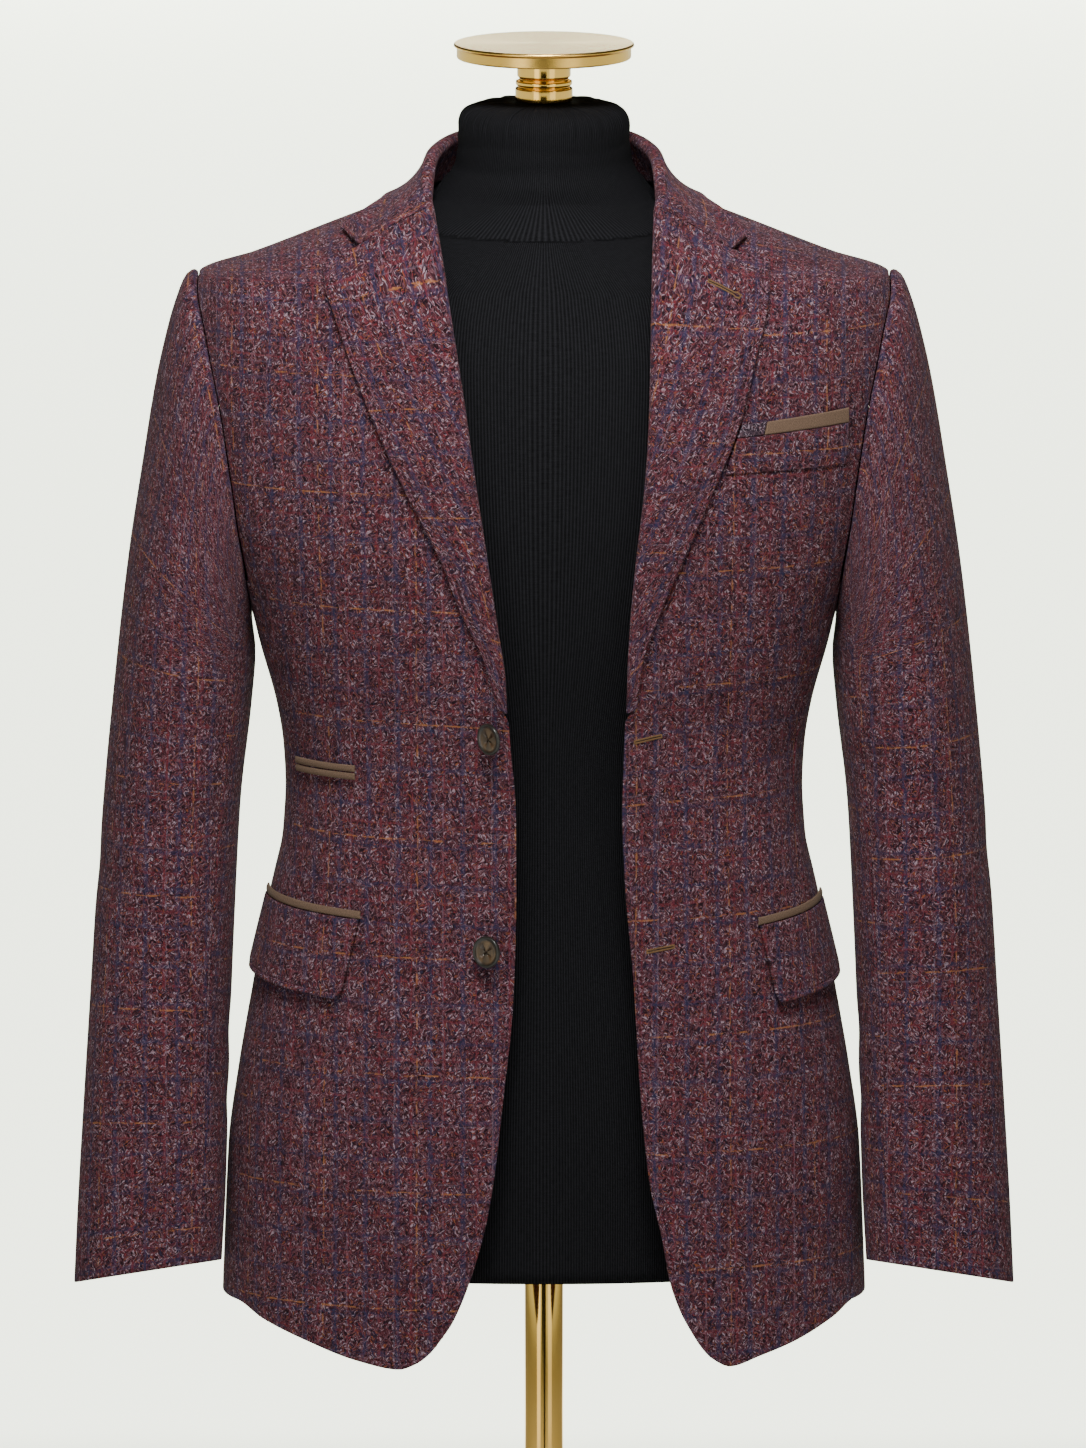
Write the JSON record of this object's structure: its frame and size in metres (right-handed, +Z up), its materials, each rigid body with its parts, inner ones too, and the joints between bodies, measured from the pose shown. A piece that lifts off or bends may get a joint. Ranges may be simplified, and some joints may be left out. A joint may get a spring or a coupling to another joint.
{
  "type": "blazer on a dress form",
  "caption": "Single-breasted tweed blazer with notch lapels, flap pockets, ticket pocket and chest welt, worn open on a limbless dress form on a pole stand.",
  "frame": {"origin": "middle of the underside of the stand's foot, on the floor", "axes": "+Z up; -Y is the blazer's front; +X is the wearer's left"},
  "size_m": [0.6004, 0.3, 1.1246],
  "materials": {
    "tweed": "burgundy tweed, matt nap",
    "navy_tweed": "navy tweed, matt nap",
    "trim": "brown wool twill",
    "horn": "polished horn",
    "jersey": "black ribbed jersey",
    "brass": "polished, lacquered"
  },
  "bodies": {
    "root": {"front_right": "tweed", "front_left": "tweed", "side_right": "tweed", "side_left": "tweed", "back_right": "tweed", "back_left": "tweed", "sleeve_top_right": "tweed", "sleeve_top_left": "tweed", "sleeve_under_right": "tweed", "sleeve_under_left": "tweed", "lapel_right": "tweed", "lapel_left": "tweed", "flap_right": "tweed", "flap_left": "tweed", "flap_jet_right": "trim", "flap_jet_left": "trim", "collar": "tweed", "chest_welt": "tweed", "welt_end": "navy_tweed", "welt_trim": "trim", "ticket_jet_upper": "trim", "ticket_jet_lower": "trim", "button_upper": "horn", "button_lower": "horn", "form_body": "jersey", "foot": "brass", "pole": "brass", "cap_stem": "brass", "cap_disc": "brass"}
  },
  "joints": []
}
